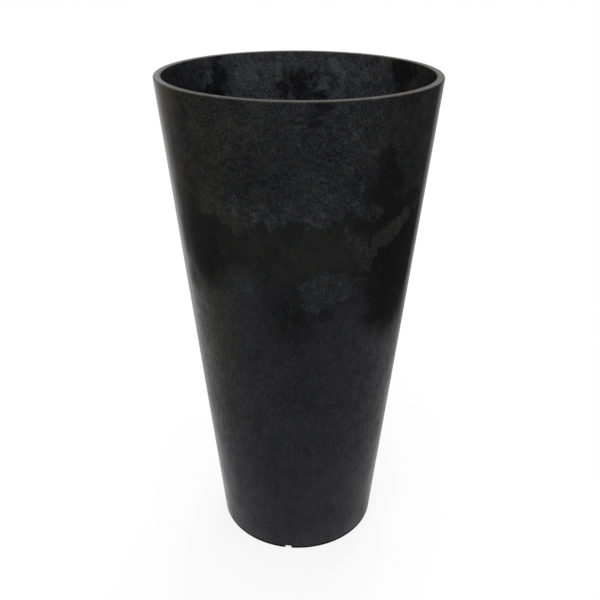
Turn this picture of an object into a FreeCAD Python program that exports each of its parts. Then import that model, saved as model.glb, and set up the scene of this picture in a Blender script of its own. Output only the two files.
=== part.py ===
"""Tall tapered floor planter with a lift-out self-watering insert.

The pot is one thick-walled moulding that stands on a foot ring. Water that drains through
the soil collects under a perforated disc, which stands on push-in legs. A slotted wick cup
hangs from the disc into the water, and a rubber plug closes the drain in the pot's floor.
Lengths are in millimetres. Z is up, the origin is the middle of the foot, and -Y is the front.
"""

import FreeCAD
import Part
import math
import os

from FreeCAD import Vector

# Pot shell
pot_height = 700.0
rim_diameter = 370.0  # outside, at the top
base_diameter = 240.0  # outside, where the wall would meet the ground
rim_wall = 9.7  # wall at the rim, measured level
floor_wall = 11.5  # wall where it meets the floor, measured level
rim_outer_round = 2.0
rim_inner_round = 1.2
floor_thickness = 9.0
floor_round = 12.0  # inside corner between floor and wall

# Foot ring and its weep notches
foot_height = 14.0  # ground to the underside of the floor
foot_width = 13.0  # foot ring at the ground
foot_draft = 5.0  # degrees that the recess widens downwards
foot_outer_round = 3.0
foot_inner_round = 1.5
recess_round = 3.0  # corner between the recess's side and the floor
notch_count = 3
notch_width = 12.0  # at the ground
notch_top_width = 8.0
notch_height = 6.0
notch_round = 1.2
notch_bearing = -6.6  # degrees from the front, seen from above

# Drain and plug
drain_diameter = 24.0
drain_round = 1.0
plug_clearance = 0.15  # between stem and drain, on the radius
plug_head_diameter = 38.0
plug_head_thickness = 5.0
plug_head_round = 1.5
plug_stem_reach = 2.0  # above the pot's floor
plug_stem_round = 1.5
plug_tab_width = 24.0
plug_tab_thickness = 4.5
plug_tab_round = 1.5
plug_ground_gap = 4.0

# Drainage disc
reservoir_depth = 60.0  # pot floor to the underside of the disc
disc_thickness = 4.0
disc_edge_gap = 2.0  # to the pot wall, measured level
disc_edge_round = 1.0
skirt_depth = 8.0
skirt_thickness = 3.0
rib_depth = 6.0
rib_thickness = 2.5
perforation_diameter = 7.0
perforation_pitch = 16.0  # least distance between neighbours
perforation_margin = 2.5  # plastic left around a perforation
finger_hole_diameter = 22.0
finger_hole_inset = 24.0  # disc edge to the hole's middle

# Legs
leg_count = 4
leg_inset = 34.0  # disc edge to the leg's axis
leg_diameter = 21.0
leg_wall = 2.5
leg_foot_diameter = 28.0
leg_foot_thickness = 3.0
leg_foot_round = 1.0
socket_depth = 10.0
spigot_diameter = 14.0
spigot_clearance = 0.1  # between spigot and socket, on the radius
spigot_end_gap = 0.5
spigot_round = 1.0

# Wick cup
cup_flange_diameter = 68.0
cup_flange_thickness = 2.5
cup_flange_round = 0.8
cup_neck_diameter = 58.0
cup_foot_diameter = 48.0
cup_wall = 2.2
cup_round = 4.0
cup_floor_gap = 8.0  # pot floor to the underside of the cup
cup_clearance = 0.3  # around the neck and the flange, on the radius
collar_wall = 3.5
collar_depth = 6.0
slot_count = 8
slot_width = 4.0
slot_height = 28.0
slot_sill = 7.0  # underside of the cup to the slot

# Levels and radii that follow from the sizes above
overrun = 1.0  # how far a cutter passes the face that it cuts
rim_radius = rim_diameter / 2
base_radius = base_diameter / 2
drain_radius = drain_diameter / 2
floor_top = foot_height + floor_thickness
disc_bottom = floor_top + reservoir_depth
disc_top = disc_bottom + disc_thickness
skirt_bottom = disc_bottom - skirt_depth
socket_bottom = disc_bottom - socket_depth
cup_bottom = floor_top + cup_floor_gap
cup_seat = disc_top - cup_flange_thickness
collar_bottom = disc_bottom - collar_depth
collar_radius = cup_flange_diameter / 2 + cup_clearance + collar_wall
leg_step = 360.0 / leg_count
leg_bearings = [leg_step * (number + 0.5) for number in range(leg_count)]
z_axis = Vector(0, 0, 1)


def outer_radius(height):
    """Outside of the pot wall at a height."""
    return base_radius + (rim_radius - base_radius) * height / pot_height


def inner_radius(height):
    """Inside of the pot wall at a height: the wall thins evenly from floor to rim."""
    share = (height - floor_top) / (pot_height - floor_top)
    return outer_radius(height) - floor_wall - (rim_wall - floor_wall) * share


def disc_edge(height):
    """Edge of the drainage disc at a height, parallel to the pot wall."""
    return inner_radius(height) - disc_edge_gap


leg_circle = disc_edge(disc_top) - leg_inset


def rounded_outline(corners):
    """Closed wire in the XZ plane through corners (x, z, rounding)."""
    points = [Vector(x, 0, z) for x, z, rounding in corners]
    entries, middles, exits = [], [], []
    for index, here in enumerate(points):
        to_last = (points[index - 1] - here).normalize()
        to_next = (points[(index + 1) % len(points)] - here).normalize()
        half_turn = to_last.getAngle(to_next) / 2
        rounding = corners[index][2]
        reach = rounding / math.tan(half_turn)
        inward = (to_last + to_next).normalize()
        entries.append(here + to_last * reach)
        middles.append(here + inward * (rounding / math.sin(half_turn) - rounding))
        exits.append(here + to_next * reach)
    edges = []
    for index in range(len(points)):
        if corners[index][2] > 0:
            arc = Part.Arc(entries[index], middles[index], exits[index])
            edges.append(arc.toShape())
        following = entries[(index + 1) % len(points)]
        edges.append(Part.LineSegment(exits[index], following).toShape())
    return Part.Wire(edges)


def turned(corners):
    """Solid of revolution about Z from corners (radius, height, rounding)."""
    return Part.Face(rounded_outline(corners)).revolve(Vector(), z_axis, 360)


def placed(shape, bearing, radius=0.0):
    """Copy of a shape moved out along +X by radius, then turned to a bearing about Z."""
    copy = shape.copy()
    copy.translate(Vector(radius, 0, 0))
    copy.rotate(Vector(), z_axis, bearing)
    return copy


def around(shape, bearings, radius=0.0):
    """Copies of a shape at several bearings."""
    return [placed(shape, bearing, radius) for bearing in bearings]


def upright_hole(diameter, bottom, top):
    """Round cutter that passes both levels."""
    height = top - bottom + 2 * overrun
    return Part.makeCylinder(diameter / 2, height, Vector(0, 0, bottom - overrun))


def weep_notch():
    """Cutter for one notch through the foot ring, on the front: narrower towards its top."""
    flare = (notch_width - notch_top_width) / 2 / notch_height
    half_below = notch_width / 2 + flare * overrun
    half_top = notch_top_width / 2
    outline = rounded_outline([
        (-half_below, -overrun, 0),
        (half_below, -overrun, 0),
        (half_top, notch_height, notch_round),
        (-half_top, notch_height, notch_round),
    ])
    cutter = Part.Face(outline).extrude(Vector(0, foot_width * 2, 0))
    cutter.translate(Vector(0, -base_radius - foot_width / 2, 0))
    return cutter


def pot_shell():
    """Tapered wall, floor with a drain, and a foot ring with weep notches."""
    recess_radius = base_radius - foot_width
    recess_top_radius = recess_radius - foot_height * math.tan(math.radians(foot_draft))
    shell = turned([
        (recess_radius, 0, foot_inner_round),
        (base_radius, 0, foot_outer_round),
        (rim_radius, pot_height, rim_outer_round),
        (rim_radius - rim_wall, pot_height, rim_inner_round),
        (inner_radius(floor_top), floor_top, floor_round),
        (drain_radius, floor_top, drain_round),
        (drain_radius, foot_height, 0),
        (recess_top_radius, foot_height, recess_round),
    ])
    step = 360.0 / notch_count
    bearings = [notch_bearing + step * number for number in range(notch_count)]
    return shell.cut(around(weep_notch(), bearings))


def drain_plug():
    """Rubber plug pushed into the drain from below, with a tab to pull it by."""
    stem_radius = drain_radius - plug_clearance
    head_bottom = foot_height - plug_head_thickness
    plug = turned([
        (0, head_bottom, 0),
        (plug_head_diameter / 2, head_bottom, plug_head_round),
        (plug_head_diameter / 2, foot_height, 0),
        (stem_radius, foot_height, 0),
        (stem_radius, floor_top + plug_stem_reach, plug_stem_round),
        (0, floor_top + plug_stem_reach, 0),
    ])
    half_tab = plug_tab_width / 2
    tab_outline = rounded_outline([
        (-half_tab, plug_ground_gap, plug_tab_round),
        (half_tab, plug_ground_gap, plug_tab_round),
        (half_tab, head_bottom, 0),
        (-half_tab, head_bottom, 0),
    ])
    tab = Part.Face(tab_outline).extrude(Vector(0, plug_tab_thickness, 0))
    tab.translate(Vector(0, -plug_tab_thickness / 2, 0))
    return plug.fuse(tab).removeSplitter()


def perforations():
    """Cutters for rings of small holes that keep clear of the legs, ribs and finger holes."""
    radius = perforation_diameter / 2
    hole = upright_hole(perforation_diameter, disc_bottom, disc_top)
    first = collar_radius + perforation_margin + radius
    last = disc_edge(skirt_bottom) - skirt_thickness - perforation_margin - radius
    ring_gaps = int((last - first) / perforation_pitch)
    clear_of_leg = leg_diameter / 2 + perforation_margin + radius
    clear_of_rib = rib_thickness / 2 + perforation_margin + radius
    clear_of_finger = finger_hole_diameter / 2 + perforation_margin + radius
    finger_circle = disc_edge(disc_top) - finger_hole_inset
    cutters = []
    for ring in range(ring_gaps + 1):
        ring_radius = first + (last - first) * ring / ring_gaps
        per_leg = int(2 * math.pi * ring_radius / perforation_pitch / leg_count)
        count = per_leg * leg_count
        for number in range(count):
            bearing = 360.0 * number / count
            x = ring_radius * math.cos(math.radians(bearing))
            y = ring_radius * math.sin(math.radians(bearing))
            from_rib = math.radians((bearing + leg_step) % leg_step - leg_step / 2)
            along_rib = ring_radius * math.cos(from_rib)
            off_rib = abs(ring_radius * math.sin(from_rib))
            off_leg = math.hypot(along_rib - leg_circle, off_rib)
            off_finger = math.hypot(abs(x) - finger_circle, y)
            if off_rib > clear_of_rib and off_leg > clear_of_leg and off_finger > clear_of_finger:
                cutters.append(placed(hole, bearing, ring_radius))
    return cutters


def drainage_disc():
    """Perforated false floor: skirt, leg sockets and ribs below, a seat for the cup in its middle."""
    neck_hole = cup_neck_diameter / 2 + cup_clearance
    seat_radius = cup_flange_diameter / 2 + cup_clearance
    skirt_inside = disc_edge(skirt_bottom) - skirt_thickness
    plate = turned([
        (neck_hole, collar_bottom, 0),
        (collar_radius, collar_bottom, 0),
        (collar_radius, disc_bottom, 0),
        (skirt_inside, disc_bottom, 0),
        (skirt_inside, skirt_bottom, 0),
        (disc_edge(skirt_bottom), skirt_bottom, disc_edge_round),
        (disc_edge(disc_top), disc_top, disc_edge_round),
        (seat_radius, disc_top, 0),
        (seat_radius, cup_seat, 0),
        (neck_hole, cup_seat, 0),
    ])
    boss = Part.makeCylinder(leg_diameter / 2, socket_depth, Vector(0, 0, socket_bottom))
    rib_start = collar_radius - collar_wall / 2
    rib_length = skirt_inside + skirt_thickness / 2 - rib_start
    rib_corner = Vector(rib_start, -rib_thickness / 2, disc_bottom - rib_depth)
    rib = Part.makeBox(rib_length, rib_thickness, rib_depth, rib_corner)
    disc = plate.fuse(around(boss, leg_bearings, leg_circle) + around(rib, leg_bearings))
    socket_radius = spigot_diameter / 2 + spigot_clearance
    socket = Part.makeCylinder(
        socket_radius, socket_depth + overrun, Vector(0, 0, socket_bottom - overrun)
    )
    finger_hole = upright_hole(finger_hole_diameter, disc_bottom, disc_top)
    finger_circle = disc_edge(disc_top) - finger_hole_inset
    cutters = around(socket, leg_bearings, leg_circle)
    cutters += around(finger_hole, [0, 180], finger_circle)
    cutters += perforations()
    return disc.removeSplitter().cut(cutters)


def disc_leg(bearing):
    """Hollow leg with a wide foot and a spigot that pushes into the disc's socket."""
    spigot_top = disc_bottom - spigot_end_gap
    bore_radius = leg_diameter / 2 - leg_wall
    bore_top = socket_bottom - leg_wall
    foot_top = floor_top + leg_foot_thickness
    leg = turned([
        (bore_radius, floor_top, 0),
        (leg_foot_diameter / 2, floor_top, leg_foot_round),
        (leg_foot_diameter / 2, foot_top, leg_foot_round),
        (leg_diameter / 2, foot_top, 0),
        (leg_diameter / 2, socket_bottom, 0),
        (spigot_diameter / 2, socket_bottom, 0),
        (spigot_diameter / 2, spigot_top, spigot_round),
        (0, spigot_top, 0),
        (0, bore_top, 0),
        (bore_radius, bore_top, 0),
    ])
    return placed(leg, bearing, leg_circle)


def wick_cup():
    """Slotted cup that hangs by its flange in the disc and dips into the water."""
    neck = cup_neck_diameter / 2
    foot = cup_foot_diameter / 2
    cup = turned([
        (0, cup_bottom, 0),
        (foot, cup_bottom, cup_round),
        (neck, cup_seat, 0),
        (cup_flange_diameter / 2, cup_seat, 0),
        (cup_flange_diameter / 2, disc_top, cup_flange_round),
        (neck - cup_wall, disc_top, cup_flange_round),
        (foot - cup_wall, cup_bottom + cup_wall, cup_round - cup_wall),
        (0, cup_bottom + cup_wall, 0),
    ])
    slot_corner = Vector(foot / 2, -slot_width / 2, cup_bottom + slot_sill)
    slot = Part.makeBox(neck, slot_width, slot_height, slot_corner)
    bearings = [360.0 * number / slot_count for number in range(slot_count)]
    return cup.cut(around(slot, bearings))


def main():
    nodes = {
        "pot_shell": pot_shell(),
        "drain_plug": drain_plug(),
        "drainage_disc": drainage_disc(),
        "wick_cup": wick_cup(),
    }
    for number, bearing in enumerate(leg_bearings, start=1):
        nodes[f"disc_leg_{number}"] = disc_leg(bearing)
    os.makedirs("parts", exist_ok=True)
    for name, shape in nodes.items():
        shape.exportStep(f"parts/{name}.step")
        print(name, "solids", len(shape.Solids), "valid", shape.isValid(), f"{shape.Volume / 1e3:.1f} cm3")


main()
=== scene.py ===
import bpy
import math
import numpy as np
from mathutils import Matrix, Vector
from types import SimpleNamespace


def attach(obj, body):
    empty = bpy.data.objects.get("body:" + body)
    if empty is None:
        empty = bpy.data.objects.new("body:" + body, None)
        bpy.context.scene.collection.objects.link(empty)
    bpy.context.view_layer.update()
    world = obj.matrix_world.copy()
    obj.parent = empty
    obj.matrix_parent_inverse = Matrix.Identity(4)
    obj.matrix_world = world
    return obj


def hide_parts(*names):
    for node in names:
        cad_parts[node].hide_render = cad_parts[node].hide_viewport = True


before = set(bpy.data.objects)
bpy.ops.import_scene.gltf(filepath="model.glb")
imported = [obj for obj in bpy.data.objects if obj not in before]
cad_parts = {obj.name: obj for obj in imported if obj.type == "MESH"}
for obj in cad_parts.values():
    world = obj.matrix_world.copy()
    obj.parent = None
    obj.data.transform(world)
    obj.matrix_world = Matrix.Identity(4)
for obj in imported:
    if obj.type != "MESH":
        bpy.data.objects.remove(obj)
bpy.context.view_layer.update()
print("frame loaded:", sorted(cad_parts))


# A socket in a node tree: arithmetic on it adds Math nodes
class Sock:
    def __init__(self, paint, socket):
        self.paint, self.socket = paint, socket

    def math(self, operation, *values):
        return self.paint.node("ShaderNodeMath", {"operation": operation}, dict(enumerate(values)))

    def __add__(self, other):
        return self.math("ADD", self, other)

    def __radd__(self, other):
        return self.math("ADD", other, self)

    def __sub__(self, other):
        return self.math("SUBTRACT", self, other)

    def __rsub__(self, other):
        return self.math("SUBTRACT", other, self)

    def __mul__(self, other):
        return self.math("MULTIPLY", self, other)

    def __rmul__(self, other):
        return self.math("MULTIPLY", other, self)

    def __truediv__(self, other):
        return self.math("DIVIDE", self, other)

    def __rtruediv__(self, other):
        return self.math("DIVIDE", other, self)

    def __neg__(self):
        return self.math("MULTIPLY", self, -1.0)

    def size(self):  # without its sign
        return self.math("ABSOLUTE", self)

    def atLeast(self, other):
        return self.math("MAXIMUM", self, other)

    def atMost(self, other):
        return self.math("MINIMUM", self, other)

    def clamp(self):  # kept between 0 and 1
        return self.atLeast(0.0).atMost(1.0)

    def out(self, name):  # another output of the same node
        return Sock(self.paint, self.socket.node.outputs[name])


# A node tree under construction
class Paint:
    def __init__(self, owner):
        owner.use_nodes = True
        self.owner, self.tree = owner, owner.node_tree
        self.tree.nodes.clear()

    # kind of node, its settings (set first), its sockets' values or links
    def node(self, kind, settings, sockets, out=0):
        made = self.tree.nodes.new(kind)
        for key, value in settings.items():
            setattr(made, key, value)
        for key, value in sockets.items():
            if isinstance(value, Sock):
                self.tree.links.new(value.socket, made.inputs[key])
            else:
                made.inputs[key].default_value = value
        return Sock(self, made.outputs[out]) if made.outputs else None

    def place(self):  # the point of the piece, in metres
        return self.node("ShaderNodeTexCoord", {}, {}, "Object")

    def ramp(self, value, low, high):  # smooth 0 to 1 as value goes from low to high
        return self.node("ShaderNodeMapRange", {"interpolation_type": "SMOOTHSTEP"},
                         {"Value": value, "From Min": low, "From Max": high})

    def noise(self, where, scale, detail, rough, stretch=None, swirl=0.0, out="Fac"):
        if stretch:
            where = self.node("ShaderNodeVectorMath", {"operation": "MULTIPLY"}, {0: where, 1: stretch})
        return self.node("ShaderNodeTexNoise", {}, {"Vector": where, "Scale": scale, "Detail": detail,
                                                    "Roughness": rough, "Distortion": swirl}, out)

    def mixColour(self, factor, a, b):
        return self.node("ShaderNodeMix", {"data_type": "RGBA"}, {0: factor, 6: a, 7: b}, 2)

    def shift(self, vector, other, scale):  # vector + other * scale
        other = self.node("ShaderNodeVectorMath", {"operation": "SCALE"}, {0: other, "Scale": scale})
        return self.node("ShaderNodeVectorMath", {"operation": "ADD"}, {0: vector, 1: other})

    def bump(self, height, strength, depth):
        return self.node("ShaderNodeBump", {}, {"Strength": strength, "Distance": depth, "Height": height})

    # soft ellipses on a wall laid flat, from their weight at the middle to 0 at the edge, the highest taken
    def spots(self, table, flatWall, radius):
        total = None
        for degrees, height, halfWidth, halfHeight, tilt, weight in table:
            local = self.node("ShaderNodeMapping", {"vector_type": "TEXTURE"}, {
                "Vector": flatWall, "Location": (math.radians(degrees) * radius, height / 1000, 0),
                "Rotation": (0, 0, math.radians(tilt)), "Scale": (halfWidth / 1000, halfHeight / 1000, 1)})
            spot = weight * self.node(
                "ShaderNodeTexGradient", {"gradient_type": "SPHERICAL"}, {"Vector": local}, "Fac")
            total = spot if total is None else total.atLeast(spot)
        return total

    def surface(self, shader, kind="ShaderNodeOutputMaterial"):
        self.node(kind, {}, {"Surface": shader})
        return self.owner


def newPaint(name):
    return Paint(bpy.data.materials.new(name))


# Pot shell: the section (radius, height, rounding) turned about Z, in millimetres and degrees
pot = {
    "section": [
        (107.0, 0.0, 1.5), (120.0, 0.0, 3.0),  # foot ring
        (185.0, 700.0, 2.0), (175.3, 700.0, 1.2),  # rim
        (110.64, 23.0, 12.0), (12.0, 23.0, 1.0),  # inside floor and drain
        (12.0, 14.0, 0.2), (105.78, 14.0, 3.0),  # recess under the floor
    ],
    "rowsPerMetre": 100,
    "rowsPerCorner": 7,
    "columns": 288,
    "notchBearings": (-6.6, 113.4, 233.4),
    "notchHalfWidths": (6.0, 4.0),  # at the ground, at the top
    "notchHeight": 6.0,
    "notchGap": 0.1,  # from a notch's edge to the next column
    "waviness": 0.12,  # how far the moulded wall wanders
    "waveTurns": (3, 5),  # waves round the wall, slow and quick
    "waveRises": (95, 61, 47),  # height to a radian of wave: slow, upright, quick
    "waveOffset": 1.3,  # of the upright wave, in radians
    "quickShare": 0.6,
    "waveFade": ((30, 90), (690, 650)),  # heights of none and all of it, at the foot and at the rim
}


# Closed profile with every corner rounded: the arc's points are centre + radius * (cos, sin)
# between the two tangent points, and each straight run is divided evenly.
def roundedSection(corners, perCorner, perMetre):
    table = np.array(corners, float)
    here, radius = table[:, :2], table[:, 2]
    toLast, toNext = np.roll(here, 1, 0) - here, np.roll(here, -1, 0) - here
    toLast /= np.linalg.norm(toLast, axis=1)[:, None]
    toNext /= np.linalg.norm(toNext, axis=1)[:, None]
    half = np.arccos(np.clip((toLast * toNext).sum(1), -1, 1)) / 2
    inward = toLast + toNext
    inward /= np.linalg.norm(inward, axis=1)[:, None]
    centre = here + inward * (radius / np.sin(half))[:, None]
    entry = here + toLast * (radius / np.tan(half))[:, None]
    leave = here + toNext * (radius / np.tan(half))[:, None]
    share = np.linspace(0, 1, perCorner)[None, :, None]
    chord = (1 - share) * entry[:, None] + share * leave[:, None] - centre[:, None]
    arcs = centre[:, None] + chord * (radius[:, None, None] / np.linalg.norm(chord, axis=2)[:, :, None])
    runs = np.roll(entry, -1, 0) - leave
    counts = np.maximum(1, (np.linalg.norm(runs, axis=1) / 1000 * perMetre).astype(int))
    rows = [np.vstack([arc, end + run * np.linspace(0, 1, n + 1)[1:-1, None]])
            for arc, end, run, n in zip(arcs, leave, runs, counts)]
    return np.vstack(rows)


# Waviness of the wall: slow sine * upright sine + a share of quick sine, none at the foot and the rim
def wallSway(spec, b, z):
    slowTurns, quickTurns = spec["waveTurns"]
    slowRise, uprightRise, quickRise = spec["waveRises"]
    sway = np.sin(slowTurns * b + z / slowRise) * np.sin(z / uprightRise + spec["waveOffset"])
    sway = sway + spec["quickShare"] * np.sin(quickTurns * b - z / quickRise)
    (footNone, footAll), (rimNone, rimAll) = spec["waveFade"]
    atFoot = np.clip((z - footNone) / (footAll - footNone), 0, 1)
    atRim = np.clip((rimNone - z) / (rimNone - rimAll), 0, 1)
    return spec["waviness"] / 2 * sway * atFoot * atRim


# Grid of the turned wall: point(row, bearing) = (r sin b, -r cos b, z). Under a notch the foot's
# points are lifted to the notch's roof and slide along the wall's slope.
def potGrid(spec):
    section = roundedSection(spec["section"], spec["rowsPerCorner"], spec["rowsPerMetre"])
    ringRadius, footRadius, rimRadius = (spec["section"][k][0] for k in range(3))
    slope = (rimRadius - footRadius) / spec["section"][2][1]
    low, high = spec["notchHalfWidths"]
    beside = low + spec["notchGap"]
    perMm = math.degrees(1 / footRadius)  # degrees of bearing to a millimetre round the foot
    edges = np.array([-beside, -low, -high, -high / 2, 0, high / 2, high, low, beside]) * perMm
    near = (np.array(spec["notchBearings"])[:, None] + edges[None, :]).ravel()
    even = np.linspace(-180, 180, spec["columns"], endpoint=False)
    bearing = np.radians(np.unique(np.round(np.concatenate([even, (near + 180) % 360 - 180]), 5)))
    r = np.repeat(section[:, :1], bearing.size, 1)
    z = np.repeat(section[:, 1:], bearing.size, 1)
    b = np.repeat(bearing[None, :], section.shape[0], 0)
    off = np.degrees(b)[..., None] - np.array(spec["notchBearings"])[None, None, :]
    off = np.abs((off + 180) % 360 - 180).min(2) / perMm
    roof = np.clip((low - off) / (low - high), 0, 1) * spec["notchHeight"]
    lifted = np.maximum(z, roof)
    outside = r > (ringRadius + footRadius) / 2
    r = np.where((lifted > z) & outside, footRadius + slope * lifted, r)
    r = r + wallSway(spec, b, z)
    return np.stack([r * np.sin(b), -r * np.cos(b), lifted], -1) / 1000


# Mesh from a grid that closes on itself both ways
def closedGridMesh(name, grid, material):
    rows, columns = grid.shape[:2]
    index = np.arange(rows * columns).reshape(rows, columns)
    right, down = np.roll(index, -1, 1), np.roll(index, -1, 0)
    corner = np.roll(right, -1, 0)
    faces = np.stack([index, right, corner, down], -1).reshape(-1, 4)
    mesh = bpy.data.meshes.new(name)
    mesh.from_pydata(grid.reshape(-1, 3).tolist(), [], faces.tolist())
    mesh.polygons.foreach_set("use_smooth", np.ones(len(faces), bool))
    mesh.materials.append(material)
    mesh.update()
    piece = bpy.data.objects.new(name, mesh)
    bpy.context.scene.collection.objects.link(piece)
    return piece


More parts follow.
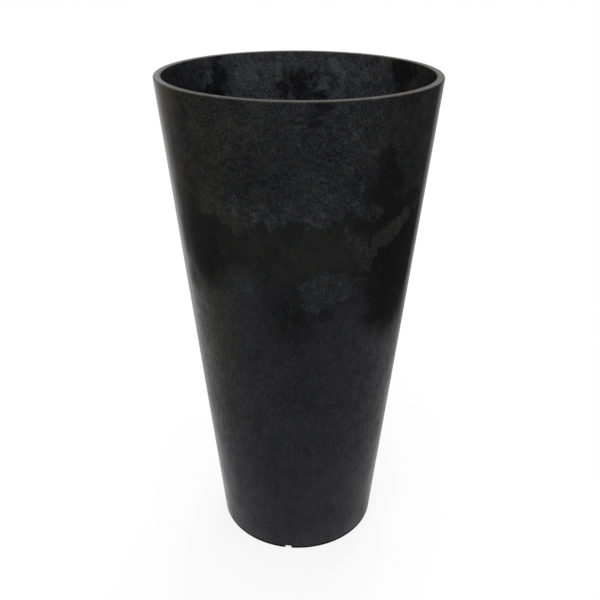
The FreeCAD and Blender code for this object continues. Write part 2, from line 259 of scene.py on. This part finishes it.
# Composite: black body, a grey slate-like skin over its upper part, satin below
composite = {
    "ink": (0.0036, 0.0036, 0.0038, 1),
    "inkCool": (0.0033, 0.0034, 0.0046, 1),
    "inkWarm": (0.0039, 0.0038, 0.0030, 1),
    # greenish tint on the left: a painted tint of the reflection there
    "greenReflectionTint": (0.0042, 0.0045, 0.0010, 1),
    "smoke": (0.0118, 0.0121, 0.0112, 1),
    "rockDark": (0.0050, 0.0051, 0.0047, 1),
    "rockCool": (0.0326, 0.0334, 0.0405, 1),
    "rockWarm": (0.0336, 0.0340, 0.0282, 1),
    "cloudCool": (0.0690, 0.0710, 0.0840, 1),
    "cloudWarm": (0.0655, 0.0668, 0.0645, 1),
    # pale rim: partly its worn edge, partly a painted warm sheen
    "rimWearAndSheen": (0.0520, 0.0450, 0.0380, 1),
    # brown of a painted reflection up the front left edge of the skin
    "paintedBrownReflection": (0.0370, 0.0300, 0.0180, 1),
    "tintShare": (0.36, 0.36, 0.74),  # how far the hue of the grains varies
    # heights and lengths, in metres
    "skinEdge": 0.551,  # the skin's ragged lower edge
    "edgeShred": 0.032,  # how far that edge is shredded
    "edgeSweep": 0.22,  # and how far it swings at the back
    "edgeBack": (0.0, 0.1),  # from the middle of the pot backward
    "satinTop": (0.49, 0.42),  # where the satin begins, and where it is full
    "wander": 0.036,  # how far the markings stray
    "tear": 0.030,  # how far their edges are torn
    "nudge": 0.008,  # how far the edges of pits and frost are torn
    "outerRadius": 0.155,  # of the walls laid flat
    "innerRadius": 0.170,
    # levels, from 0 to 1
    "skinLight": 0.41,
    "smokeLight": 0.74,
    "bareLight": 0.16,
    "milkLight": 0.51,
    "satinShare": 0.273,
    "satinLow": 0.082,  # added towards the foot
    "satinFoot": 0.13,  # added at the foot
    "satinFilm": 0.075,  # on everything
    "satinRim": 0.185,
    "mattRoughness": 0.8,
    "satinRoughness": 0.3,
    "satinSpecular": 0.5,
    "satinTint": (0.86, 0.875, 1.0, 1),
    "bumpStrength": 0.2,
    "bumpDepth": 0.0005,
    # noises from fine to broad: scale, detail, roughness, stretch, swirl
    "noises": {
        "grain": (460, 3, 0.65, (1.15, 1.15, 0.75)),
        "dapple": (190, 2, 0.5),
        "clump": (130, 3, 0.6, None, 1.1),
        "squiggle": (120, 2, 0.6, None, 1.0),
        "vein": (62, 4, 0.6),
        "streak": (60, 3, 0.7, (7, 7, 0.8)),
        "curl": (55, 6, 0.72, None, 1.4),
        "shred": (40, 3, 0.65, (4, 4, 0.5)),
        "cloud": (38, 5, 0.62),
        "drift": (17, 4, 0.6),
        "sweep": (7, 2, 0.5),
    },
    "colourNoises": {"tint": (170, 2, 0.6), "fine": (85, 6, 0.78), "wide": (14, 3, 0.55)},
    "lineWidths": {"vein": 0.03, "squiggle": 0.025},  # thin lines where these noises cross 0
    # shares of the noises in each mixture
    "mixtures": {
        "wisp": {"cloud": 0.8, "clump": 0.6, "grain": 0.4},
        "channelEdge": {"wisp": 4.0, "grain": 2.0},
        "pitEdge": {"wisp": 3.0, "grain": 2.0},
        "hollowEdge": {"wisp": 1.8, "grain": 0.5},
        "mottle": {"grain": 2.5, "clump": 1.4, "cloud": 0.5, "drift": 0.8},
        "blotch": {"cloud": 2.3, "drift": 1.4},
        "strokes": {"streak": 0.6, "shred": 0.9},
        "skinHue": {"drift": 0.8, "cloud": 0.4, "clump": 0.3},
        "smoky": {"drift": 2.3, "cloud": 1.2, "streak": 1.1, "grain": 1.4, "clump": 0.9},
        "bare": {"grain": 2.7, "streak": 2.2, "cloud": 0.6, "clump": 1.6},
        "browning": {"cloud": 1.5, "drift": 1.5, "grain": 0.8},
        "ripple": {"curl": 1.8, "grain": 2.7, "clump": 0.9, "streak": 1.0},
        "innerHue": {"drift": 2.0, "cloud": 0.8},
        "speckle": {"grain": 1.9, "clump": 1.3},
        "satinFlow": {"cloud": 0.9, "drift": 0.6},
        "edgeStray": {"drift": 0.10, "cloud": 0.08},
        "rimFlecks": {"grain": 1.2, "clump": 1.2},
    },
    # bands: a measure of the place, its value where the band starts and where it is full
    "bands": {
        "inside": ("depth", 0.0065, 0.0085),
        "rim": ("height", 0.6987, 0.6998),
        "aboveGround": ("height", 0.003, 0.0075),
        "front": ("backward", 0.10, -0.03),
        "skinAbove": ("overEdge", -0.001, 0.003),
        "skinFringe": ("overEdge", 0.045, 0.004),
        "underSkin": ("overEdge", -0.025, 0.0),
        "blotchSides": ("aside", 0.6, 0.8),
        "mottleRight": ("across", 0.0, 0.3),
        "patchRight": ("across", 0.55, 0.8),
        "smokyAbove": ("height", 0.42, 0.50),
        "bareRight": ("across", 0.45, 0.75),
        "greenLeft": ("across", -0.35, -0.72),
        "greenAbove": ("height", 0.14, 0.36),
        "greenBelow": ("height", 0.49, 0.43),
        "brownLeft": ("across", -0.715, -0.86),
        "brownRight": ("across", -0.99, -0.90),
        "brownAbove": ("height", 0.53, 0.61),
        "brownTop": ("height", 0.62, 0.69),
        "brownFront": ("backward", 0.02, -0.05),
        "innerSides": ("roundAside", 0.75, 1.15),
        "innerRight": ("round", 0.45, 0.9),
        "innerLeft": ("round", -0.85, -1.15),
        "satinLow": ("height", 0.25, 0.08),
        "satinFoot": ("height", 0.06, 0.0),
        "gainLeft": ("across", -0.66, -0.90),
        "gainLeftAbove": ("height", 0.23, 0.30),
        "gainRight": ("across", 0.78, 0.90),
        "gainRightBelow": ("height", 0.37, 0.24),
        "gainRightAbove": ("height", 0.02, 0.08),
        "footSides": ("aside", 0.72, 0.88),
        "footBelow": ("height", 0.055, 0.015),
        "speckleAbove": ("height", 0.16, 0.32),
        "combAbove": ("height", 0.15, 0.19),
        "combBelow": ("height", 0.34, 0.26),
        "satinLeft": ("leftward", -0.75, -0.94),
        "litLeft": ("leftward", -0.862, -0.92),
        "litAbove": ("height", 0.33, 0.40),
        "litBelow": ("height", 0.66, 0.60),
    },
    # markings torn by wisps: share of wisp, level where the marking starts and level where it is full
    "edges": {
        "patches": (0.55, 0.17, 0.30), "bays": (0.3, 0.16, 0.28),
        "voids": (1.0, 0.18, 0.62), "shades": (0.6, 0.04, 0.72)},
    # a spot is (bearing in degrees, height, half width, half height in mm, tilt in degrees, weight)
    "patches": [  # skin below its edge
        (15, 469, 52, 26, -2, 1), (5, 450, 16, 22, 12, 1), (29.5, 504, 15, 26, 28, 1),
        (22, 531, 6, 22, 32, 1), (40.5, 528, 16, 42, -62, 1), (50, 545, 17, 17, -30, 1),
        (31.5, 567, 8, 15, 35, 1), (29, 558, 4, 9, 45, 1), (-25, 552, 12, 17, 0, 1),
        (-12, 552, 9, 15, 0, 1), (-96, 520, 40, 26, 30, 1), (-150, 490, 34, 44, -20, 1),
        (124, 505, 52, 24, 15, 1), (146, 536, 18, 40, 0, 1)],
    "channel": [  # where the skin is worn through
        (36, 620, 17, 36, 10, 1), (34, 583, 28, 40, 0, 1), (33, 548, 34, 34, 0, 1),
        (45, 558, 22, 28, 0, 1), (43, 594, 17, 22, 20, 1), (55, 567, 28, 20, 12, 1),
        (106, 585, 34, 50, -20, 1), (-128, 575, 40, 36, 10, 1)],
    "bays": [  # bites out of the skin's edge
        (-1, 553, 18, 10, 0, 1), (21, 556, 15, 10, 0, 1), (-56, 560, 28, 28, 0, 1)],
    "voids": [  # black clouds
        (38, 585, 26, 50, 8, 0.4), (50, 470, 66, 95, 0, 1.5), (34, 505, 30, 46, 0, 1.2),
        (60, 520, 46, 95, 0, 1.5), (46, 440, 66, 42, -35, 1.2), (108, 600, 44, 50, 20, 1),
        (-118, 470, 60, 70, 0, 1), (148, 480, 52, 60, 0, 1)],
    "shades": [  # softer dark clouds
        (-44, 502, 66, 82, 6, 1), (-3, 428, 50, 84, 12, 0.7), (50, 423, 58, 84, 20, 0.95),
        (41, 414, 44, 36, 0, 1), (-59, 450, 34, 28, 0, 0.65), (9, 429, 36, 26, 0, 0.6),
        (27, 662, 22, 20, 0, 0.5), (58, 640, 86, 140, 0, 0.9), (-12, 620, 60, 50, 20, 0.25),
        (-140, 600, 80, 70, 0, 0.5), (112, 430, 60, 50, 0, 0.6)],
    "glow": [(-30, 457, 42, 62, 0, 1)],  # where the satin climbs higher
    "haze": [(9, 508, 50, 32, 0, 1)],  # where the calm black is paler
    "pits": [  # small dark hollows in the skin
        (8.4, 694, 13, 6, -8, 1.5), (5.8, 686, 14, 4.5, 20, 1.5), (5.5, 676, 11, 6, 20, 1.4),
        (7, 686, 24, 24, 0, 0.35), (-19, 635, 9, 7, 0, 0.6), (-13, 607, 8, 6, 0, 0.6)],
    "frost": [  # pale scratches and crumbs
        (2.4, 683, 11, 2, 25, 1.5), (7.1, 681, 7, 2, 22, 1.5), (0.4, 673, 11, 1.8, 3, 1.3),
        (20.3, 660, 12, 12, 0, 0.6), (11.3, 629, 10, 8, 0, 0.6), (-25.3, 582, 6, 12, 0, 0.8),
        (22.4, 579, 6, 5, 0, 0.9), (-26, 566, 4, 22, 5, 1), (-17, 561, 3, 12, 0, 0.9),
        (-12, 556, 5, 10, 0, 0.8), (-3.5, 567, 3, 12, 0, 0.8), (5, 560, 15, 3.5, -27, 1),
        (18, 624, 10, 7, 0, 0.6), (25, 596, 8, 7, 0, 0.7), (29, 637, 12, 8, 0, 0.5)],
    # spots on the inner wall, by bearing from the back
    "hollows": [
        (-44, 672, 22, 60, 0, 1), (2, 652, 48, 34, 0, 0.8), (3, 666, 28, 13, 0, 1.2),
        (12, 640, 24, 16, 0, 1.4), (-9, 650, 12, 20, 0, 1), (2, 640, 34, 13, 0, 1.1),
        (57, 690, 26, 46, 0, 1), (-48, 645, 40, 26, -20, 1), (-51, 674, 16, 30, 0, 0.5)],
    "wisps": [
        (-53, 667, 4, 19, -38, 1.2), (-50, 670, 3, 15, -38, 1), (-10, 678, 7, 26, 0, 1),
        (14, 656, 22, 8, 25, 1), (20, 679, 11, 22, 40, 1), (-27, 668, 42, 34, 0, 0.62),
        (30, 672, 26, 26, 0, 0.3)],
}


# The composite's paint p is built from places (at), noises (n), bands (b) and markings (m).
# Places on the pot: a wall laid flat is (bearing * radius, height), which noise strays and tears.
def potPlaces(p, spec):
    where = p.place()
    x = p.node("ShaderNodeSeparateXYZ", {}, {"Vector": where}, "X")
    y, z = x.out("Y"), x.out("Z")
    rho = x.math("SQRT", x * x + y * y)
    (footRadius, _, _), (rimRadius, potHeight, _) = pot["section"][1:3]
    depth = footRadius / 1000 + z * ((rimRadius - footRadius) / potHeight) - rho  # below the outer face
    fine, wide = (p.node("ShaderNodeVectorMath", {"operation": "SUBTRACT"}, {
        0: p.noise(where, *spec["colourNoises"][name], out="Color"), 1: (0.5, 0.5, 0.5)})
        for name in ("fine", "wide"))
    bearing, fromBack = x.math("ARCTAN2", x, -y), x.math("ARCTAN2", x, y)
    flat = p.node("ShaderNodeCombineXYZ", {}, {"X": bearing * spec["outerRadius"], "Y": z})
    flatIn = p.node("ShaderNodeCombineXYZ", {}, {"X": fromBack * spec["innerRadius"], "Y": z})
    cloudy, cloudyIn = (p.shift(wall, wide, spec["wander"]) for wall in (flat, flatIn))
    ragged, raggedIn = (p.shift(wall, fine, spec["tear"]) for wall in (cloudy, cloudyIn))
    return SimpleNamespace(
        where=where, x=x, y=y, z=z, depth=depth, fromBack=fromBack,
        across=x / rho,  # -1 at the left, 1 at the right
        steady=p.shift(flat, fine, spec["nudge"]), cloudy=cloudy, ragged=ragged, raggedIn=raggedIn)


# Noises about 0, thin lines from two of them, and mixtures of them
def potNoises(p, spec, where):
    noises = {name: p.noise(where, *row) - 0.5 for name, row in spec["noises"].items()}
    for name, width in spec["lineWidths"].items():
        noises[name] = p.ramp(noises[name].size(), width, 0.0)
    for name, shares in spec["mixtures"].items():
        noises[name] = sum(noises[part] * share for part, share in shares.items())
    return SimpleNamespace(**noises)


# Bands across the pot, each a ramp from 0 to 1 along one measure
def potBands(p, spec, at, n):
    level = p.node("ShaderNodeSeparateXYZ", {}, {"Vector": at.ragged}, "Y") + n.shred * spec["edgeShred"]
    level = level + n.sweep * spec["edgeSweep"] * p.ramp(at.y, *spec["edgeBack"])
    measures = {
        "height": at.z,
        "depth": at.depth,
        "backward": at.y,
        "overEdge": level - spec["skinEdge"],
        "across": at.across,
        "aside": at.across.size(),  # to either side
        "leftward": at.across + n.edgeStray,
        "round": at.fromBack,  # the inner wall, in radians
        "roundAside": at.fromBack.size(),
    }
    return SimpleNamespace(**{name: p.ramp(measures[measure], start, full)
                              for name, (measure, start, full) in spec["bands"].items()})


# Where each marking lies, from 0 to 1
def potMarks(p, spec, at, n, b):
    m = SimpleNamespace()
    for name, (torn, start, full) in spec["edges"].items():
        found = p.spots(spec[name], at.ragged, spec["outerRadius"])
        setattr(m, name, p.ramp(found + n.wisp * torn, start, full))
    channel = p.spots(spec["channel"], at.ragged, spec["outerRadius"])
    pits, frost = (p.spots(spec[name], at.steady, spec["outerRadius"]) for name in ("pits", "frost"))
    m.channel = p.ramp(channel * (1 + n.channelEdge), 0.15, 0.38)
    m.pits = p.ramp(pits * (1 + n.pitEdge), 0.12, 0.6)
    m.frost = p.ramp(frost + n.grain * 0.8, 0.1, 0.6)
    m.skin = (b.skinAbove * (1 - m.channel) * (1 - m.bays)).atLeast(m.patches)
    m.dark = m.voids.atLeast(m.shades)
    m.deep = m.dark.atLeast(m.channel * 0.85)
    return m


# Skin: mottled grey, paler strokes along its lower fringe, greener to the sides; also its lightness
def skinColour(p, spec, at, n, b, m):
    shaded = m.dark * (1 - 0.75 * m.patches)
    mottle = n.mottle + n.blotch * b.blotchSides + n.squiggle * 0.16 - 0.03
    mottle = mottle + n.vein * (0.10 + 0.25 * b.skinFringe) + m.frost * 0.35 + b.skinFringe * n.strokes
    mottle = mottle * (1 - 0.15 * shaded) * (1 - 0.35 * m.patches) * (1 + 0.2 * b.mottleRight)
    light = spec["skinLight"] + 0.15 * b.skinFringe - (0.05 + 0.1 * b.patchRight) * m.patches
    light = light * (1 - 0.5 * shaded) + mottle
    light = light + 0.6 * (mottle * mottle - 0.09)  # more bright flecks than dark
    light = (light * 0.625).clamp()  # room for the brightest flecks
    hue = (at.across - 0.12).size().atMost(0.75) + n.skinHue + m.patches * 0.2
    rock = p.mixColour(p.ramp(hue, -0.2, 1.15), spec["rockCool"], spec["rockWarm"])
    rock = p.mixColour(light, spec["rockDark"], rock)
    return p.mixColour((shaded * 0.45).atLeast(m.pits * 0.8), rock, spec["ink"]), light


# Black below the skin: smoky, barer in the dark clouds and darker there towards the right, with a greenish
# painted reflection tint on the left
def blackColour(p, spec, at, n, b, m):
    smoky = spec["smokeLight"] + n.smoky + 0.24 * p.spots(spec["haze"], at.cloudy, spec["outerRadius"])
    smoky = smoky * b.smokyAbove * (1 - 0.25 * b.underSkin)
    bare = spec["bareLight"] - 0.3 * b.bareRight + n.bare
    smoky = smoky * (1 - 0.95 * m.deep) + bare * m.deep
    black = p.mixColour(p.ramp(n.dapple, -0.12, 0.12), spec["inkCool"], spec["inkWarm"])
    # painted reflection tint: greenish black on the left, half way up
    black = p.mixColour(b.greenLeft * b.greenAbove * b.greenBelow, black, spec["greenReflectionTint"])
    return p.mixColour(smoky.clamp(), black, spec["smoke"])


# Share of painted brown reflection, in a band up the front left edge of the skin
def brownReflectionShare(n, b):
    band = b.brownLeft * b.brownRight * b.brownAbove * b.brownFront
    return (band * (0.37 + 0.48 * b.brownTop + n.browning)).clamp()


# Inner wall: milky ripples with dark hollows and pale wisps
def innerColour(p, spec, at, n, b):
    hollows, wisps = (p.spots(spec[name], at.raggedIn, spec["innerRadius"]) for name in ("hollows", "wisps"))
    hollow = p.ramp(hollows + n.hollowEdge, 0.10, 0.55)
    pale = p.ramp(wisps, 0.05, 0.6)
    milky = spec["milkLight"] + n.ripple + 0.5 * n.ripple * n.ripple + n.vein * 0.2 + n.squiggle * 0.65
    strands = hollow * (n.ripple * 0.3 + n.squiggle * 0.25)
    milky = (milky * (1 - 0.85 * hollow) + strands) * (1 - 0.5 * b.innerSides) + pale * (0.45 + n.grain)
    hue = 0.5 * b.innerRight - 0.35 * b.innerLeft + (at.z - 0.675) * 8  # warmer at the right and the top
    hue = p.ramp(hue + n.innerHue, -0.1, 0.45)
    milk = p.mixColour(hue, spec["cloudCool"], spec["cloudWarm"])
    return p.mixColour((milky * 0.6).clamp(), spec["ink"], milk)


# Satin of the lower wall, and how far it has settled there: stronger at the foot, and on the front stronger
# towards both sides as a painted sheen
def lowerSatin(p, spec, at, n, b, m):
    glow = p.ramp(p.spots(spec["glow"], at.cloudy, spec["outerRadius"]), 0.0, 0.9)
    settled = p.ramp(at.z + n.drift * 0.06 + at.x * 0.15 - glow * 0.05, *spec["satinTop"])
    satin = spec["satinShare"] + spec["satinLow"] * b.satinLow + spec["satinFoot"] * b.satinFoot
    # more satin on the front towards the left and right edges: a painted sheen
    leftPaintedSheen = b.gainLeft * (0.6 + 0.15 * b.gainLeftAbove)
    rightPaintedSheen = 0.45 * b.gainRight * b.gainRightBelow * b.gainRightAbove
    atFoot = 1 - 0.35 * b.footSides * b.footBelow
    satin = settled * satin * (1 - 0.95 * m.dark) * (1 + (leftPaintedSheen + rightPaintedSheen) * b.front) * atFoot
    speckled = 0.6 + 0.8 * b.speckleAbove  # the speckle is stronger half way up
    combed = 1 + 0.5 * b.combAbove * b.combBelow  # and the upright strokes below it
    flecks = n.streak * 1.4 * combed + n.speckle * speckled
    satin = satin * (1 + flecks + 0.6 * (flecks * flecks - 0.06) + n.satinFlow)
    return satin, settled


# Share of satin: that of the lower wall, a grazing edge with a painted sheen on the front left, a painted
# highlight up the front left edge, a faint film, and the rim's own
def satinShare(p, spec, at, n, b, m):
    lower, settled = lowerSatin(p, spec, at, n, b, m)
    facing = p.node("ShaderNodeLayerWeight", {}, {"Blend": 0.5}, "Facing")
    # the front left part of this edge satin is a painted sheen
    edge = (0.55 * p.ramp(facing, 0.74, 0.90) + 0.16 * b.satinLeft * b.front) * (1 - 0.5 * settled)
    # painted highlight: extra satin up the front left edge
    lit = 0.30 * b.litLeft * b.front * b.litAbove * (0.5 + 0.5 * b.litBelow)
    # the film is thinner in the bare black clouds, most towards the right
    thinnerFilm = m.deep * (1 - m.skin) * (0.12 + 0.34 * b.bareRight)
    film = spec["satinFilm"] * (1 - thinnerFilm)
    satin = (lower * (1 - 0.6 * m.skin) + edge + lit) * (1 - 0.8 * b.inside) + film
    # no satin on the lowest few millimetres: a painted shadow along the foot's lower edge
    satin = satin * b.aboveGround
    # more satin at the rim's left and right ends: a painted sheen
    rimSatin = b.rim * (spec["satinRim"] + 0.22 * at.across * at.across) * (1 + n.rimFlecks)
    return satin.atLeast(rimSatin).clamp()


def compositeMaterial(spec):
    p = newPaint("potComposite")
    at = potPlaces(p, spec)
    n = potNoises(p, spec, at.where)
    b = potBands(p, spec, at, n)
    m = potMarks(p, spec, at, n, b)
    rock, light = skinColour(p, spec, at, n, b, m)
    outer = p.mixColour(m.skin, blackColour(p, spec, at, n, b, m), rock)
    # painted reflection: brown up the front left edge of the skin
    outer = p.mixColour(brownReflectionShare(n, b), outer, spec["paintedBrownReflection"])
    colour = p.mixColour(b.inside, outer, innerColour(p, spec, at, n, b))
    tint = p.node("ShaderNodeVectorMath", {"operation": "MULTIPLY_ADD"}, {
        0: p.noise(at.where, *spec["colourNoises"]["tint"], out="Color"), 1: spec["tintShare"],
        2: [1 - share / 2 for share in spec["tintShare"]]})  # 1 on the whole
    colour = p.node("ShaderNodeVectorMath", {"operation": "MULTIPLY"}, {0: colour, 1: tint})
    # pale rim colour: partly its worn edge, partly a painted sheen
    colour = p.mixColour(b.rim * (0.75 + n.clump), colour, spec["rimWearAndSheen"])
    bump = p.bump(light * m.skin + n.streak * 0.2, spec["bumpStrength"], spec["bumpDepth"])
    matt = p.node("ShaderNodeBsdfPrincipled", {}, {
        "Base Color": colour, "Roughness": spec["mattRoughness"], "Specular IOR Level": 0.0, "Normal": bump})
    sheen = p.node("ShaderNodeBsdfPrincipled", {}, {
        "Base Color": colour, "Roughness": spec["satinRoughness"],
        "Specular IOR Level": spec["satinSpecular"], "Specular Tint": spec["satinTint"], "Normal": bump})
    satin = satinShare(p, spec, at, n, b, m)
    return p.surface(p.node("ShaderNodeMixShader", {}, {0: satin, 1: matt, 2: sheen}))


potMaterial = compositeMaterial(composite)
potShell = closedGridMesh("potShell", potGrid(pot), potMaterial)
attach(potShell, "pot")
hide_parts("pot_shell")
print("pot shell:", len(potShell.data.polygons), "faces")


# Insert: moulded plastic with a fine grain
insert = {
    "dark": (0.022, 0.022, 0.023, 1),
    "pale": (0.036, 0.036, 0.037, 1),
    "cloud": (45, 4, 0.6),  # scale, detail, roughness of a noise
    "cloudRange": (0.3, 0.7),
    "grain": (1400, 2, 0.6),
    "grainShare": 0.3,  # of the colour
    "roughness": (0.5, 0.15),  # least, and what the cloud adds
    "bumpStrength": 0.25,
    "bumpDepth": 0.0002,
}

# Plug: soft black rubber with a dusty bloom
plug = {
    "dark": (0.011, 0.011, 0.011, 1),
    "pale": (0.03, 0.029, 0.028, 1),
    "cloud": (160, 5, 0.65),
    "cloudRange": (0.45, 0.75),
    "grain": (1900, 2, 0.5),
    "grainShare": 0.0,
    "roughness": (0.72, 0.15),
    "bumpStrength": 0.2,
    "bumpDepth": 0.0002,
}


# Moulded material: clouded between two colours, rougher where it is paler, with a grain in relief
def mouldedMaterial(name, spec):
    p = newPaint(name)
    where = p.place()
    cloud = p.ramp(p.noise(where, *spec["cloud"]), *spec["cloudRange"])
    grain = p.noise(where, *spec["grain"])
    paleness = cloud * (1 - spec["grainShare"]) + spec["grainShare"] * grain
    least, added = spec["roughness"]
    return p.surface(p.node("ShaderNodeBsdfPrincipled", {}, {
        "Base Color": p.mixColour(paleness, spec["dark"], spec["pale"]),
        "Roughness": least + added * cloud,
        "Normal": p.bump(grain, spec["bumpStrength"], spec["bumpDepth"])}))


insertLook, plugLook = mouldedMaterial("insertPlastic", insert), mouldedMaterial("plugRubber", plug)
for name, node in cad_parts.items():
    look = plugLook if name == "drain_plug" else insertLook
    node.data.materials.clear()
    node.data.materials.append(look)
print("materials on the insert and the plug")


# Stage: pale floor that keeps a faint shadow, soft lamps, camera of the photograph, in metres
stageLook = {
    "white": (1.0, 1.0, 1.0, 1),
    "floor": (0.88, 0.88, 0.88, 1),
    "floorX": (-15, 15),
    "floorY": (-6, 16),
    "ambient": 0.45,
    "shadowShare": 0.2,
    "shadowReach": (0.25, 0.8),  # the shadow is full, the shadow has faded
}


def seenDirectly(p):  # camera, glossy and transmission rays
    path = p.node("ShaderNodeLightPath", {}, {}, "Is Camera Ray")
    seen = path + path.out("Is Glossy Ray") + path.out("Is Transmission Ray")
    return seen.atMost(1.0)


def floorMaterial(spec):
    p = newPaint("paleFloor")
    away = p.node("ShaderNodeVectorMath", {"operation": "LENGTH"}, {0: p.place()}, "Value")
    full, faded = spec["shadowReach"]
    paper = p.node("ShaderNodeBsdfDiffuse", {}, {"Color": spec["floor"]})
    light = p.node("ShaderNodeEmission", {}, {"Color": spec["white"], "Strength": 1.0})
    share = seenDirectly(p) * (1 - spec["shadowShare"] * p.ramp(away, faded, full))
    return p.surface(p.node("ShaderNodeMixShader", {}, {0: share, 1: paper, 2: light}))


(left, right), (near, far) = stageLook["floorX"], stageLook["floorY"]
floorMesh = bpy.data.meshes.new("floor")
floorCorners = [(left, near, 0), (right, near, 0), (right, far, 0), (left, far, 0)]
floorMesh.from_pydata(floorCorners, [], [(0, 1, 2, 3)])
floorMesh.materials.append(floorMaterial(stageLook))
floor = bpy.data.objects.new("floor", floorMesh)
bpy.context.scene.collection.objects.link(floor)

world = bpy.data.worlds.new("studio")
bpy.context.scene.world = world
sky = Paint(world)
strength = stageLook["ambient"] + (1 - stageLook["ambient"]) * seenDirectly(sky)
sky.surface(sky.node("ShaderNodeBackground", {}, {"Color": stageLook["white"], "Strength": strength}),
            "ShaderNodeOutputWorld")

lamps = [  # name, place, aim, width, height, watts
    ("softLeft", (-1.0, -1.9, 1.9), (0, 0, 0.4), 1.5, 1.5, 25),
    ("softRight", (1.1, -1.7, 1.7), (0, 0, 0.4), 1.3, 1.5, 10),
    ("softTop", (0.0, 0.2, 2.6), (0, 0, 0.3), 1.8, 1.8, 30),
    ("softBack", (0.5, 1.9, 2.9), (0, 0, 0.4), 1.6, 1.6, 34),
]
for name, place, aim, width, height, watts in lamps:
    lamp = bpy.data.lights.new(name, "AREA")
    lamp.shape, lamp.size, lamp.size_y, lamp.energy = "RECTANGLE", width, height, watts
    holder = bpy.data.objects.new(name, lamp)
    holder.location = place
    holder.rotation_euler = (Vector(aim) - Vector(place)).to_track_quat("-Z", "Y").to_euler()
    bpy.context.scene.collection.objects.link(holder)

shot = {
    "place": (0.0, -0.98438, 0.86577),
    "pitch": 26.599,  # down, in degrees
    "yaw": 0.156,
    "roll": 0.262,
    "lens": 44.71,  # in millimetres, as the sensor
    "sensor": 36.0,
}
camera = bpy.data.objects.new("camera", bpy.data.cameras.new("camera"))
camera.data.sensor_width, camera.data.lens = shot["sensor"], shot["lens"]
pitch, yaw, roll = (math.radians(shot[key]) for key in ("pitch", "yaw", "roll"))
ahead = Vector((math.sin(yaw) * math.cos(pitch), math.cos(yaw) * math.cos(pitch), -math.sin(pitch)))
side = ahead.cross(Vector((0, 0, 1))).normalized()
over = side.cross(ahead)
level = Matrix((side * math.cos(roll) + over * math.sin(roll),
                over * math.cos(roll) - side * math.sin(roll), -ahead)).transposed()
camera.matrix_world = Matrix.Translation(shot["place"]) @ level.to_4x4()
bpy.context.scene.collection.objects.link(camera)
bpy.context.scene.camera = camera
bpy.context.scene.view_settings.view_transform = "Standard"
print("stage ready")
